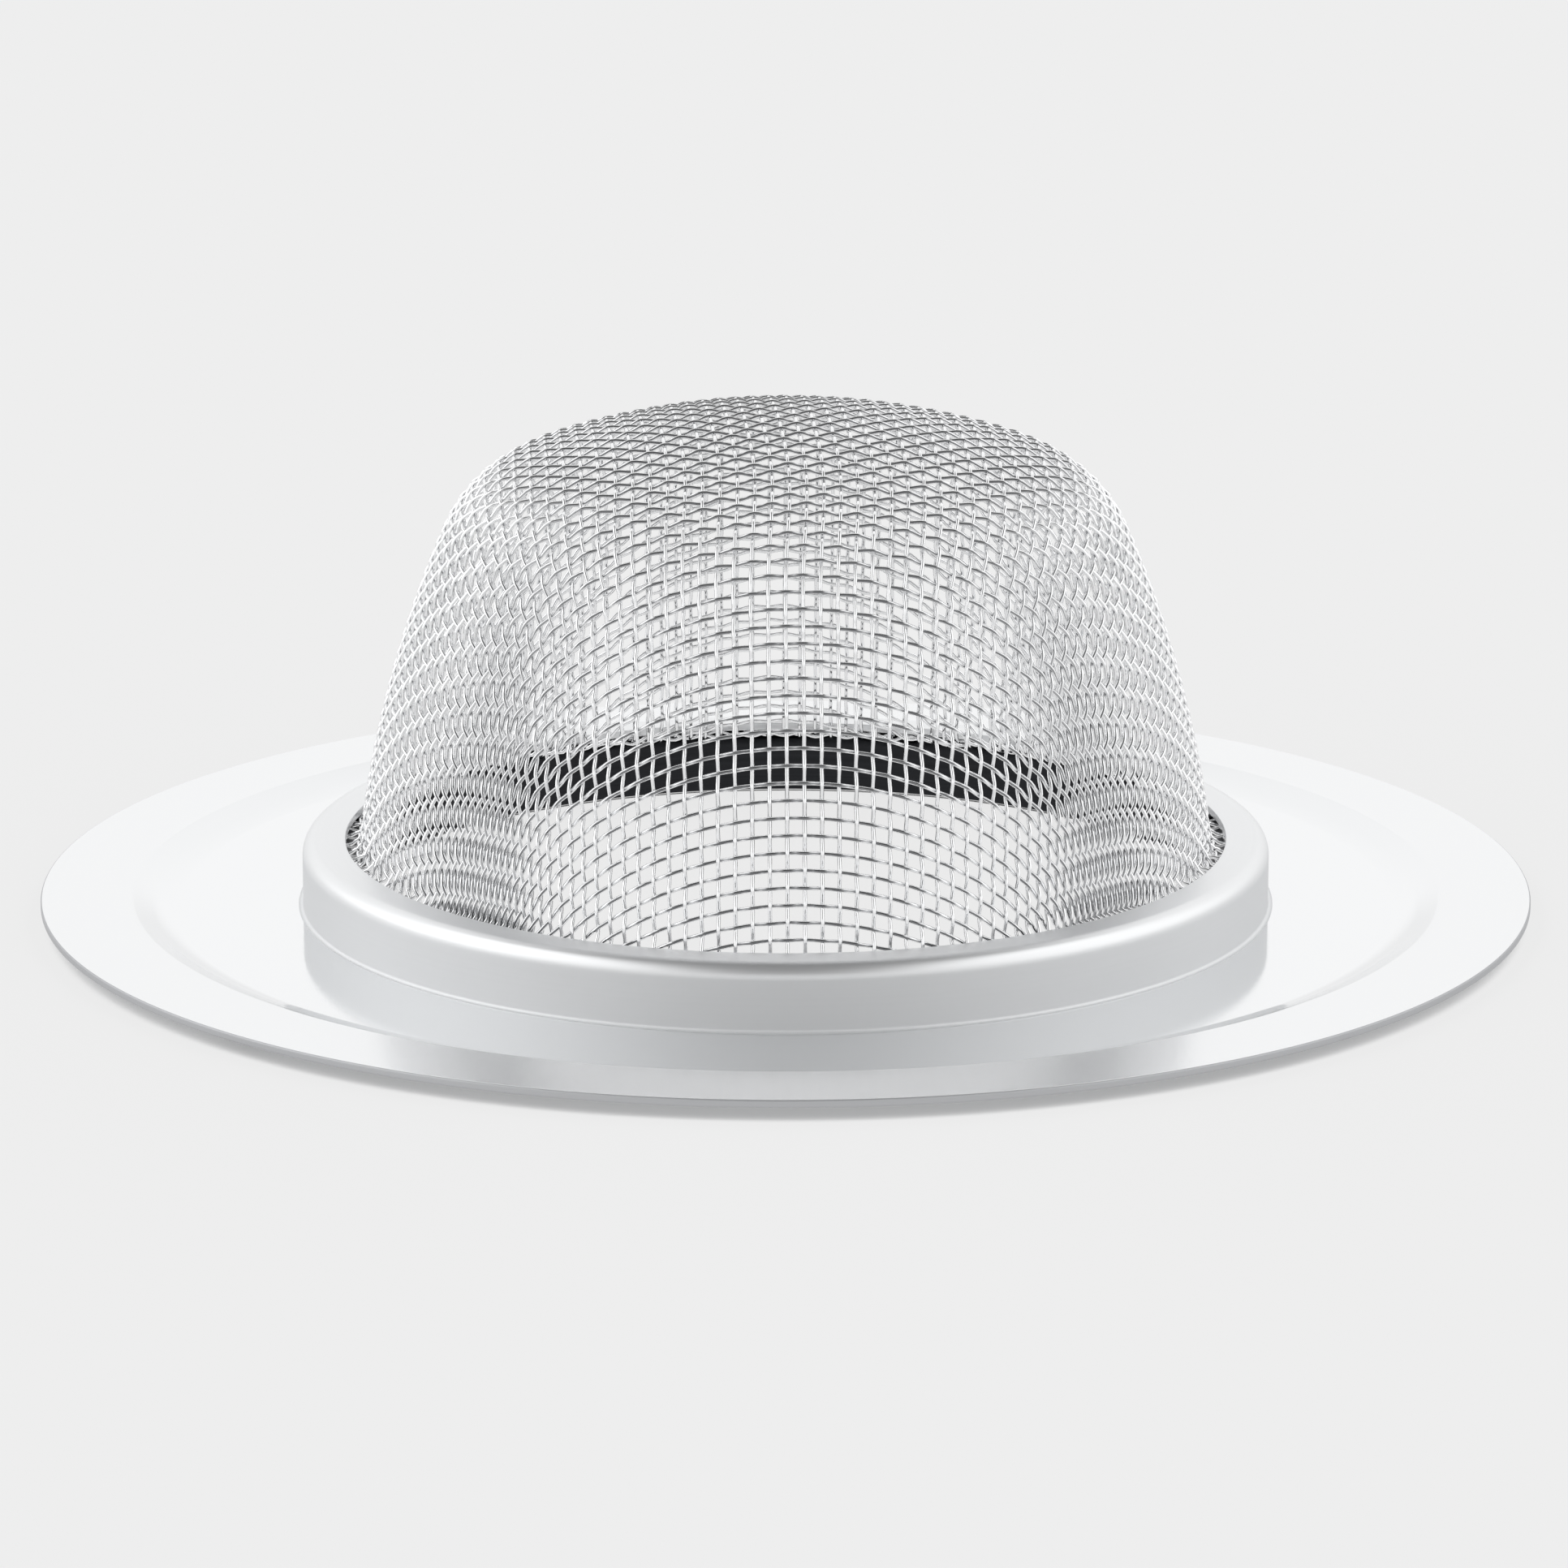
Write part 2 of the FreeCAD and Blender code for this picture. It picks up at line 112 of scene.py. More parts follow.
@dataclass(frozen=True)
class PolishedSheet:
    """Stainless sheet, stamped, drawn and polished on a wheel.

    The flat rings are mirror-bright with a slight haze and fine lines round the axis. Drawing the
    collar roughened its skin, so the collar and lip are satin. The collar wall is coloured a touch
    darker as painted shade. The sheared edge is left dull, and its darker colour is partly its own
    and partly painted shade.
    """

    name: str = "polished_stainless_sheet"
    colour: str = "#E9EAEB"
    # Painted shade: the collar wall is a touch darker than the flats.
    colour_wall_shade: str = "#E1E2E3"
    # The edge colour is partly the dull cut face and partly painted shade.
    colour_edge_dull_and_shade: str = "#BDBEC0"
    ring_haze: float = 0.06
    brim_haze: float = 0.16
    lip_haze: float = 0.34
    wall_haze: float = 0.56
    edge_haze: float = 0.50
    line_haze: float = 0.06
    # Wheel marks are about 0.02 mm apart. They are drawn coarser, so that they show at all.
    line_width: float = 0.25
    line_depth: float = 0.002
    line_strength: float = 0.12
    swell_width: float = 9.0
    swell_depth: float = 0.01
    swell_strength: float = 0.25
    foot_radius: float = 37.35
    foot_height: float = 0.62
    satin_height: float = 0.8
    wall_height: float = 4.4
    lip_height: float = 5.3
    step_radius: float = 47.5
    crease_radius: float = 50.0
    edge_radius: float = 56.9

    def material(self) -> bpy.types.Material:
        """Build the material.

        Returns:
            Polished stainless steel, satin on the collar and dull on the sheared edge, with painted
            shade on the collar wall and the edge.
        """
        material, tree, shader = new_material(self.name)
        shader.inputs["Metallic"].default_value = 1.0
        place = add_node(tree, "ShaderNodeTexCoord").outputs["Object"]
        parts = add_node(tree, "ShaderNodeSeparateXYZ", sockets={0: place}).outputs
        flat = add_node(tree, "ShaderNodeCombineXYZ", sockets={0: parts["X"], 1: parts["Y"]})
        radius = add_node(
            tree, "ShaderNodeVectorMath", {"operation": "LENGTH"}, {0: flat.outputs[0]},
        ).outputs["Value"]
        across = add_node(tree, "ShaderNodeMath", {"operation": "ADD"}, {0: radius, 1: parts["Z"]})
        lines = add_node(
            tree, "ShaderNodeTexNoise", {"noise_dimensions": "1D"},
            {"W": across.outputs[0], "Scale": 1.0 / (self.line_width * MM), "Detail": 3.0},
        )
        swell = add_node(
            tree, "ShaderNodeTexNoise", None,
            {"Vector": place, "Scale": 1.0 / (self.swell_width * MM), "Detail": 1.0},
        )
        inside = add_node(
            tree, "ShaderNodeMath", {"operation": "LESS_THAN"},
            {0: radius, 1: self.foot_radius * MM},
        )
        flats = add_node(
            tree, "ShaderNodeMapRange", None,
            {"Value": radius,
             "From Min": self.step_radius * MM, "From Max": self.crease_radius * MM,
             "To Min": self.ring_haze, "To Max": self.brim_haze},
        )
        drawn = add_node(
            tree, "ShaderNodeMapRange", None,
            {"Value": parts["Z"],
             "From Min": self.wall_height * MM, "From Max": self.lip_height * MM,
             "To Min": self.wall_haze, "To Max": self.lip_haze},
        )
        skin = add_node(
            tree, "ShaderNodeMix", None,
            {"Factor": inside.outputs[0], 2: flats.outputs["Result"], 3: drawn.outputs["Result"]},
        )
        sheared = add_node(
            tree, "ShaderNodeMath", {"operation": "GREATER_THAN"},
            {0: radius, 1: self.edge_radius * MM},
        )
        dull = add_node(
            tree, "ShaderNodeMix", None,
            {"Factor": sheared.outputs[0], 2: skin.outputs[0], 3: self.edge_haze},
        )
        haze = add_node(
            tree, "ShaderNodeMath", {"operation": "MULTIPLY_ADD"},
            {0: lines.outputs["Fac"], 1: self.line_haze, 2: dull.outputs[0]},
        )
        tree.links.new(haze.outputs[0], shader.inputs["Roughness"])
        above_foot = add_node(
            tree, "ShaderNodeMapRange", None,
            {"Value": parts["Z"],
             "From Min": self.foot_height * MM, "From Max": self.satin_height * MM},
        )
        below_lip = add_node(
            tree, "ShaderNodeMapRange", None,
            {"Value": parts["Z"],
             "From Min": self.lip_height * MM, "From Max": self.wall_height * MM},
        )
        height = add_node(
            tree, "ShaderNodeMath", {"operation": "MULTIPLY"},
            {0: above_foot.outputs["Result"], 1: below_lip.outputs["Result"]},
        )
        wall = add_node(
            tree, "ShaderNodeMath", {"operation": "MULTIPLY"},
            {0: height.outputs[0], 1: inside.outputs[0]},
        )
        # Painted shade: the collar wall between foot and lip is coloured a touch darker than the
        # flats.
        tone = add_node(
            tree, "ShaderNodeMix", {"data_type": "RGBA"},
            {"Factor": wall.outputs[0], 6: linear(self.colour), 7: linear(self.colour_wall_shade)},
        )
        # The sheared edge is coloured darker: partly its dull cut face, partly painted shade along
        # the brim's edge.
        colour = add_node(
            tree, "ShaderNodeMix", {"data_type": "RGBA"},
            {"Factor": sheared.outputs[0], 6: tone.outputs[2], 7: linear(self.colour_edge_dull_and_shade)},
        )
        tree.links.new(colour.outputs[2], shader.inputs["Base Color"])
        uneven = add_node(
            tree, "ShaderNodeBump", None,
            {"Height": swell.outputs["Fac"],
             "Strength": self.swell_strength, "Distance": self.swell_depth * MM},
        )
        grooves = add_node(
            tree, "ShaderNodeBump", None,
            {"Height": lines.outputs["Fac"], "Normal": uneven.outputs["Normal"],
             "Strength": self.line_strength, "Distance": self.line_depth * MM},
        )
        tree.links.new(grooves.outputs["Normal"], shader.inputs["Normal"])
        return material


class WireWay(Enum):
    """Which way a wire of the cloth runs: along Y for the warp, along X for the weft."""

    WARP = "warp"
    WEFT = "weft"


@dataclass(frozen=True)
class DrawnWire:
    """Stainless wire, woven, then drawn with the cloth through a die ring.

    Where a wire runs round the basket, its outside carries a grey line of painted shade where it
    is seen square on, between bright silver sides. All wires on the crown carry the same painted
    shade. Where a wire runs down the wall, and all over the inside, it is bright.
    The loom has left it a little duller in places.
    """

    way: WireWay
    name: str = "drawn_stainless"
    colour: str = "#F5F5F6"
    colour_dull: str = "#ECEDEE"
    # Painted shade: the grey line where a wire's outside faces the camera.
    colour_painted_shade: str = "#858688"
    shade_facing_full: float = 0.06
    shade_facing_none: float = 0.26
    shade_middle_height: float = 14.0
    runs_down: float = 0.45
    runs_round: float = 0.85
    wall_top: float = 32.0
    crown_edge: float = 35.6
    satin_low: float = 0.07
    satin_high: float = 0.16
    patch: float = 6.0

    def material(self) -> bpy.types.Material:
        """Build the material.

        Returns:
            Drawn stainless wire with a grey line of painted shade and faint dull patches.
        """
        material, tree, shader = new_material(f"{self.name}_{self.way.value}_wire")
        shader.inputs["Metallic"].default_value = 1.0
        coords = add_node(tree, "ShaderNodeTexCoord").outputs
        place = coords["Object"]
        patches = add_node(
            tree, "ShaderNodeTexNoise", None,
            {"Vector": place, "Scale": 1.0 / (self.patch * MM), "Detail": 3.0},
        )
        colour = add_node(
            tree, "ShaderNodeMix", {"data_type": "RGBA"},
            {"Factor": patches.outputs["Fac"], 6: linear(self.colour), 7: linear(self.colour_dull)},
        )
        # Painted shade: a grey line where the outside of a round-running or crown wire faces the
        # camera.
        slant = add_node(tree, "ShaderNodeLayerWeight", None, {"Blend": 0.5})
        square = add_node(
            tree, "ShaderNodeMapRange", {"interpolation_type": "SMOOTHSTEP"},
            {"Value": slant.outputs["Facing"],
             "From Min": self.shade_facing_none, "From Max": self.shade_facing_full},
        )
        away = add_node(
            tree, "ShaderNodeVectorMath", {"operation": "SUBTRACT"},
            {0: place, 1: (0.0, 0.0, self.shade_middle_height * MM)},
        )
        outward = add_node(
            tree, "ShaderNodeVectorMath", {"operation": "DOT_PRODUCT"},
            {0: away.outputs[0], 1: coords["Normal"]},
        )
        outside = add_node(
            tree, "ShaderNodeMath", {"operation": "GREATER_THAN"},
            {0: outward.outputs["Value"], 1: 0.0},
        )
        flat = add_node(
            tree, "ShaderNodeVectorMath", {"operation": "MULTIPLY"}, {0: place, 1: (1.0, 1.0, 0.0)},
        )
        unit = add_node(
            tree, "ShaderNodeVectorMath", {"operation": "NORMALIZE"}, {0: flat.outputs[0]},
        )
        parts = add_node(tree, "ShaderNodeSeparateXYZ", sockets={0: unit.outputs[0]}).outputs
        turned = add_node(
            tree, "ShaderNodeMath", {"operation": "ABSOLUTE"},
            {0: parts["X"] if self.way is WireWay.WARP else parts["Y"]},
        )
        shade_round = add_node(
            tree, "ShaderNodeMapRange", {"interpolation_type": "SMOOTHSTEP"},
            {"Value": turned.outputs[0], "From Min": self.runs_down, "From Max": self.runs_round},
        )
        height = add_node(tree, "ShaderNodeSeparateXYZ", sockets={0: place}).outputs["Z"]
        shade_crown = add_node(
            tree, "ShaderNodeMapRange", {"interpolation_type": "SMOOTHSTEP"},
            {"Value": height, "From Min": self.wall_top * MM, "From Max": self.crown_edge * MM},
        )
        shade_where = add_node(
            tree, "ShaderNodeMath", {"operation": "MAXIMUM"},
            {0: shade_round.outputs["Result"], 1: shade_crown.outputs["Result"]},
        )
        shade_outside = add_node(
            tree, "ShaderNodeMath", {"operation": "MULTIPLY"},
            {0: shade_where.outputs[0], 1: outside.outputs[0]},
        )
        skin = add_node(
            tree, "ShaderNodeMath", {"operation": "MULTIPLY"},
            {0: square.outputs["Result"], 1: shade_outside.outputs[0]},
        )
        shaded_colour = add_node(
            tree, "ShaderNodeMix", {"data_type": "RGBA"},
            {"Factor": skin.outputs[0], 6: colour.outputs[2], 7: linear(self.colour_painted_shade)},
        )
        tree.links.new(shaded_colour.outputs[2], shader.inputs["Base Color"])
        satin = add_node(
            tree, "ShaderNodeMapRange", None,
            {"Value": patches.outputs["Fac"], "To Min": self.satin_low, "To Max": self.satin_high},
        )
        tree.links.new(satin.outputs["Result"], shader.inputs["Roughness"])
        return material


@dataclass(frozen=True)
class PaintedShadeStrip:
    """Steel strip bent to a ring, nearly black and dull.

    The near-black colour is painted shade: it stands for the shadow inside the collar. It has
    greyer streaks round the axis.
    """

    name: str = "painted_shade_strip"
    # Painted shade: the ring is near black to stand for the shadow inside the collar.
    colour: str = "#27282A"
    colour_streak: str = "#3A3B3E"
    dull_low: float = 0.38
    dull_high: float = 0.55
    streak: float = 0.3

    def material(self) -> bpy.types.Material:
        """Build the material.

        Returns:
            Near-black steel, painted shade, with streaks round the axis.
        """
        material, tree, shader = new_material(self.name)
        shader.inputs["Metallic"].default_value = 1.0
        place = add_node(tree, "ShaderNodeTexCoord").outputs["Object"]
        parts = add_node(tree, "ShaderNodeSeparateXYZ", sockets={0: place}).outputs
        flat = add_node(tree, "ShaderNodeCombineXYZ", sockets={0: parts["X"], 1: parts["Y"]})
        radius = add_node(
            tree, "ShaderNodeVectorMath", {"operation": "LENGTH"}, {0: flat.outputs[0]},
        ).outputs["Value"]
        across = add_node(tree, "ShaderNodeMath", {"operation": "ADD"}, {0: radius, 1: parts["Z"]})
        streaks = add_node(
            tree, "ShaderNodeTexNoise", {"noise_dimensions": "1D"},
            {"W": across.outputs[0], "Scale": 1.0 / (self.streak * MM), "Detail": 4.0},
        )
        colour = add_node(
            tree, "ShaderNodeMix", {"data_type": "RGBA"},
            {"Factor": streaks.outputs["Fac"],
             6: linear(self.colour), 7: linear(self.colour_streak)},
        )
        tree.links.new(colour.outputs[2], shader.inputs["Base Color"])
        dull = add_node(
            tree, "ShaderNodeMapRange", None,
            {"Value": streaks.outputs["Fac"], "To Min": self.dull_low, "To Max": self.dull_high},
        )
        tree.links.new(dull.outputs["Result"], shader.inputs["Roughness"])
        return material


@dataclass(frozen=True)
class MattePaper:
    """Seamless studio paper, matte and pale grey, lit evenly all over.

    The eye and the metal see the paper as one even tone. Only a faint shadow lies round the object,
    and the gap under the brim, where the rim covers the paper, keeps its full shadow.
    """

    name: str = "matte_studio_paper"
    colour: str = "#ECECEC"
    matte: float = 0.9
    evenness: float = 0.88
    mirrored_evenness: float = 0.88
    glow: float = 1.035
    cover: float = 2.5
    cover_rays: int = 16
    covered: float = 0.2
    uncovered: float = 0.5

    def material(self) -> bpy.types.Material:
        """Build the material.

        Returns:
            Matte pale paper.
        """
        material, tree, shader = new_material(self.name)
        tone = linear(self.colour)
        shader.inputs["Base Color"].default_value = tone
        shader.inputs["Roughness"].default_value = self.matte
        shader.inputs["Specular IOR Level"].default_value = 0.0
        path = add_node(tree, "ShaderNodeLightPath").outputs
        in_metal = add_node(
            tree, "ShaderNodeMath", {"operation": "MAXIMUM"},
            {0: path["Is Glossy Ray"], 1: path["Is Transmission Ray"]},
        )
        mirrored = add_node(
            tree, "ShaderNodeMath", {"operation": "MULTIPLY"},
            {0: in_metal.outputs[0], 1: self.mirrored_evenness},
        )
        open_paper = add_node(
            tree, "ShaderNodeAmbientOcclusion", {"samples": self.cover_rays},
            {"Distance": self.cover * MM},
        )
        clear = add_node(
            tree, "ShaderNodeMapRange", {"interpolation_type": "SMOOTHSTEP"},
            {"Value": open_paper.outputs["AO"],
             "From Min": self.covered, "From Max": self.uncovered},
        )
        seen = add_node(
            tree, "ShaderNodeMath", {"operation": "MULTIPLY"},
            {0: path["Is Camera Ray"], 1: clear.outputs["Result"]},
        )
        share = add_node(
            tree, "ShaderNodeMath", {"operation": "MULTIPLY_ADD"},
            {0: seen.outputs[0], 1: self.evenness, 2: mirrored.outputs[0]},
        )
        glow = add_node(tree, "ShaderNodeEmission", None, {"Color": tone, "Strength": self.glow})
        blend = add_node(
            tree, "ShaderNodeMixShader", None,
            {0: share.outputs[0], 1: shader.outputs[0], 2: glow.outputs[0]},
        )
        tree.links.new(blend.outputs[0], tree.nodes["Material Output"].inputs["Surface"])
        return material


@dataclass(frozen=True)
class Corner:
    """Corner of a turned section: radius, height and the bend radius there."""

    radius: float
    height: float
    bend: float = 0.0


def turned_sheet(
    name: str, corners: list[Corner], steps: int, bend_segments: int,
) -> bpy.types.Object:
    """Turn a closed section with rounded corners about the axis.

    Args:
        name: name of the piece.
        corners: corners of the section in order.
        steps: steps of the full turn.
        bend_segments: segments in each bend.

    Returns:
        The turned piece, smooth shaded, with its flats kept even.
    """
    shape = bmesh.new()
    points = [shape.verts.new((c.radius * MM, 0.0, c.height * MM)) for c in corners]
    shape.faces.new(points)
    bends = []
    for k, corner in enumerate(corners):
        before = points[k - 1].co - points[k].co
        after = points[(k + 1) % len(points)].co - points[k].co
        bends.append((points[k], corner.bend * MM / math.tan(0.5 * before.angle(after))))
    for point, reach in bends:
        bmesh.ops.bevel(
            shape, geom=[point], offset=reach, offset_type="OFFSET", segments=bend_segments,
            profile=0.5, affect="VERTICES", clamp_overlap=False, material=-1,
        )
    bmesh.ops.delete(shape, geom=shape.faces[:], context="FACES_ONLY")
    bmesh.ops.spin(
        shape, geom=shape.verts[:] + shape.edges[:], cent=(0.0, 0.0, 0.0), axis=(0.0, 0.0, 1.0),
        angle=FULL_TURN, steps=steps, use_merge=True,
    )
    bmesh.ops.recalc_face_normals(shape, faces=shape.faces[:])
    mesh = bpy.data.meshes.new(name)
    shape.to_mesh(mesh)
    shape.free()
    mesh.shade_smooth()
    piece = bpy.data.objects.new(name, mesh)
    bpy.context.scene.collection.objects.link(piece)
    piece.modifiers.new("even_flats", "WEIGHTED_NORMAL").keep_sharp = True
    return piece


def settle(piece: bpy.types.Object, node: str) -> None:
    """Put a finished piece in the place of a CAD node.

    Args:
        piece: the piece.
        node: CAD node that it stands for.
    """
    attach(piece, BODY)
    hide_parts(node)


@dataclass
class Rim:
    """Stamped sheet: flat brim, step at the crease, recessed ring, collar and inward lip."""

    sheet: float = 0.6
    brim_radius: float = 57.0
    crease_radius: float = 50.0
    step_radius: float = 47.5
    collar_radius: float = 37.0
    lip_radius: float = 33.7
    brim_rise: float = 1.1
    collar_height: float = 5.1
    crease_bend: float = 0.5
    cove_bend: float = 5.0
    foot_bend: float = 0.25
    lip_bend: float = 0.6
    brim_edge: float = 0.15
    cut_edge: float = 0.08
    steps: int = 288
    bend_segments: int = 8
    finish: PolishedSheet = field(default_factory=PolishedSheet)

    def section(self) -> list[Corner]:
        """Corners of the sheet's section, from the brim's top edge inwards and back underneath."""
        top = self.sheet
        lip_top = self.collar_height + self.sheet
        inside = self.collar_radius - self.sheet
        return [
            Corner(self.brim_radius, self.brim_rise + top, self.brim_edge),
            Corner(self.crease_radius, self.brim_rise + top, self.crease_bend),
            Corner(self.step_radius, top, self.cove_bend),
            Corner(self.collar_radius, top, self.foot_bend),
            Corner(self.collar_radius, lip_top, self.lip_bend + self.sheet),
            Corner(self.lip_radius, lip_top, self.cut_edge),
            Corner(self.lip_radius, self.collar_height, self.cut_edge),
            Corner(inside, self.collar_height, self.lip_bend),
            Corner(inside, 0.0, self.foot_bend + self.sheet),
            Corner(self.step_radius, 0.0, self.cove_bend + self.sheet),
            Corner(self.crease_radius, self.brim_rise, self.crease_bend + self.sheet),
            Corner(self.brim_radius, self.brim_rise, self.brim_edge),
        ]

    def build(self) -> bpy.types.Object:
        """Turn the rim and dress it in polished sheet."""
        piece = turned_sheet("rim_sheet", self.section(), self.steps, self.bend_segments)
        self.dress(piece)
        return piece

    def dress(self, piece: bpy.types.Object) -> None:
        """Give the rim its finish and put it in its node's place."""
        piece.data.materials.append(self.finish.material())
        settle(piece, "rim")


@dataclass
class RetainingRing:
    """Angle-section ring: its flange clamps the cloth under the lip, its skirt is at the bore."""

    outside: float = 36.37
    bore: float = 33.8
    top: float = 4.52
    bottom: float = 0.15
    strip: float = 0.5
    bend: float = 0.2
    cut_edge: float = 0.06
    steps: int = 192
    bend_segments: int = 5
    # The ring's near-black finish is painted shade.
    finish: PaintedShadeStrip = field(default_factory=PaintedShadeStrip)

    def section(self) -> list[Corner]:
        """Corners of the strip's section."""
        skirt = self.bore + self.strip
        under = self.top - self.strip
        return [
            Corner(self.outside, self.top, self.cut_edge),
            Corner(self.bore, self.top, self.bend + self.strip),
            Corner(self.bore, self.bottom, self.cut_edge),
            Corner(skirt, self.bottom, self.cut_edge),
            Corner(skirt, under, self.bend),
            Corner(self.outside, under, self.cut_edge),
        ]

    def build(self) -> bpy.types.Object:
        """Turn the ring and dress it in rolled strip."""
        piece = turned_sheet("clamping_ring", self.section(), self.steps, self.bend_segments)
        self.dress(piece)
        return piece

    def dress(self, piece: bpy.types.Object) -> None:
        """Give the ring its finish and put it in its node's place."""
        piece.data.materials.append(self.finish.material())
        settle(piece, "retaining_ring")


@dataclass
class ClothForm:
    """Middle of the drawn cloth: crown, shoulder and wall, then the flare and the clamped edge."""

    thickness: float = 0.58
    top: float = 38.6
    lip_under: float = 5.1
    mouth_radius: float = 32.65
    edge_radius: float = 35.7
    lean: float = math.radians(7.2)
    flare: float = 0.6
    bow: float = 87.0
    shoulder: float = 10.0
    crown: float = 60.0
    crown_skew: float = math.radians(4.0)
    wall_skew: float = math.radians(1.4)

    def __post_init__(self) -> None:
        """Fit the three bows to one another and measure the run of each."""
        foot_z = self.lip_under + self.flare * (1.0 - math.sin(self.lean))
        bow_r = self.mouth_radius - self.bow * math.cos(self.lean)
        bow_z = foot_z - self.bow * math.sin(self.lean)
        crown_z = self.top - self.crown
        to_bow = self.bow - self.shoulder
        to_crown = self.crown - self.shoulder
        apart = math.hypot(bow_r, crown_z - bow_z)
        along = (to_bow ** 2 - to_crown ** 2 + apart ** 2) / (2.0 * apart)
        aside = math.sqrt(to_bow ** 2 - along ** 2)
        unit_r = -bow_r / apart
        unit_z = (crown_z - bow_z) / apart
        shoulder_r = bow_r + along * unit_r - aside * unit_z
        shoulder_z = bow_z + along * unit_z + aside * unit_r
        crown_turn = math.atan2(shoulder_r, shoulder_z - crown_z)
        wall_turn = math.atan2(shoulder_r - bow_r, shoulder_z - bow_z)
        foot_turn = 0.5 * math.pi - self.lean
        half = 0.5 * self.thickness
        self.bows = [
            (0.0, crown_z, self.crown - half, 0.0, crown_turn),
            (shoulder_r, shoulder_z, self.shoulder - half, crown_turn, wall_turn),
            (bow_r, bow_z, self.bow - half, wall_turn, foot_turn),
        ]
        runs = [radius * (end - start) for _, _, radius, start, end in self.bows]
        self.crown_run = runs[0]
        self.shoulder_run = runs[1]
        self.mouth_run = sum(runs)
        self.flare_reach = self.flare + half
        self.flare_r = self.mouth_radius + self.flare * math.cos(self.lean)
        self.flare_z = self.lip_under + self.flare
        self.flare_run = self.flare_reach * foot_turn
        self.end_run = self.mouth_run + self.flare_run + self.edge_radius - self.flare_r

    def skew(self, run: float) -> float:
        """Turn of the cloth about the axis, more on the crown than on the wall."""
        share = (run - 0.5 * self.crown_run) / (0.5 * self.crown_run + self.shoulder_run)
        share = min(max(share, 0.0), 1.0)
        share = share * share * (3.0 - 2.0 * share)
        return self.crown_skew + (self.wall_skew - self.crown_skew) * share

    def drawn(self, run: float) -> tuple[float, float, float]:
        """Find a place on the drawn form, which runs on past the mouth.

        Args:
            run: length along the cloth from the crown.

        Returns:
            Radius, height and the turn of the surface from the axis.
        """
        left = run
        for centre_r, centre_z, radius, start, end in self.bows:
            turn = start + left / radius
            if turn <= end:
                break
            left -= radius * (end - start)
        return centre_r + radius * math.sin(turn), centre_z + radius * math.cos(turn), turn

    def flared(self, run: float) -> tuple[float, float, float]:
        """Find a place on the finished form, with the flare and the clamped edge past the mouth.

        Args:
            run: length along the cloth from the crown.

        Returns:
            Radius, height and the turn of the surface from the axis.
        """
        past = run - self.mouth_run
        if past <= 0.0:
            return self.drawn(run)
        if past >= self.flare_run:
            return self.flare_r + past - self.flare_run, self.flare_z - self.flare_reach, 0.0
        turn = (self.flare_run - past) / self.flare_reach
        return (
            self.flare_r - self.flare_reach * math.sin(turn),
            self.flare_z - self.flare_reach * math.cos(turn),
            turn,
        )


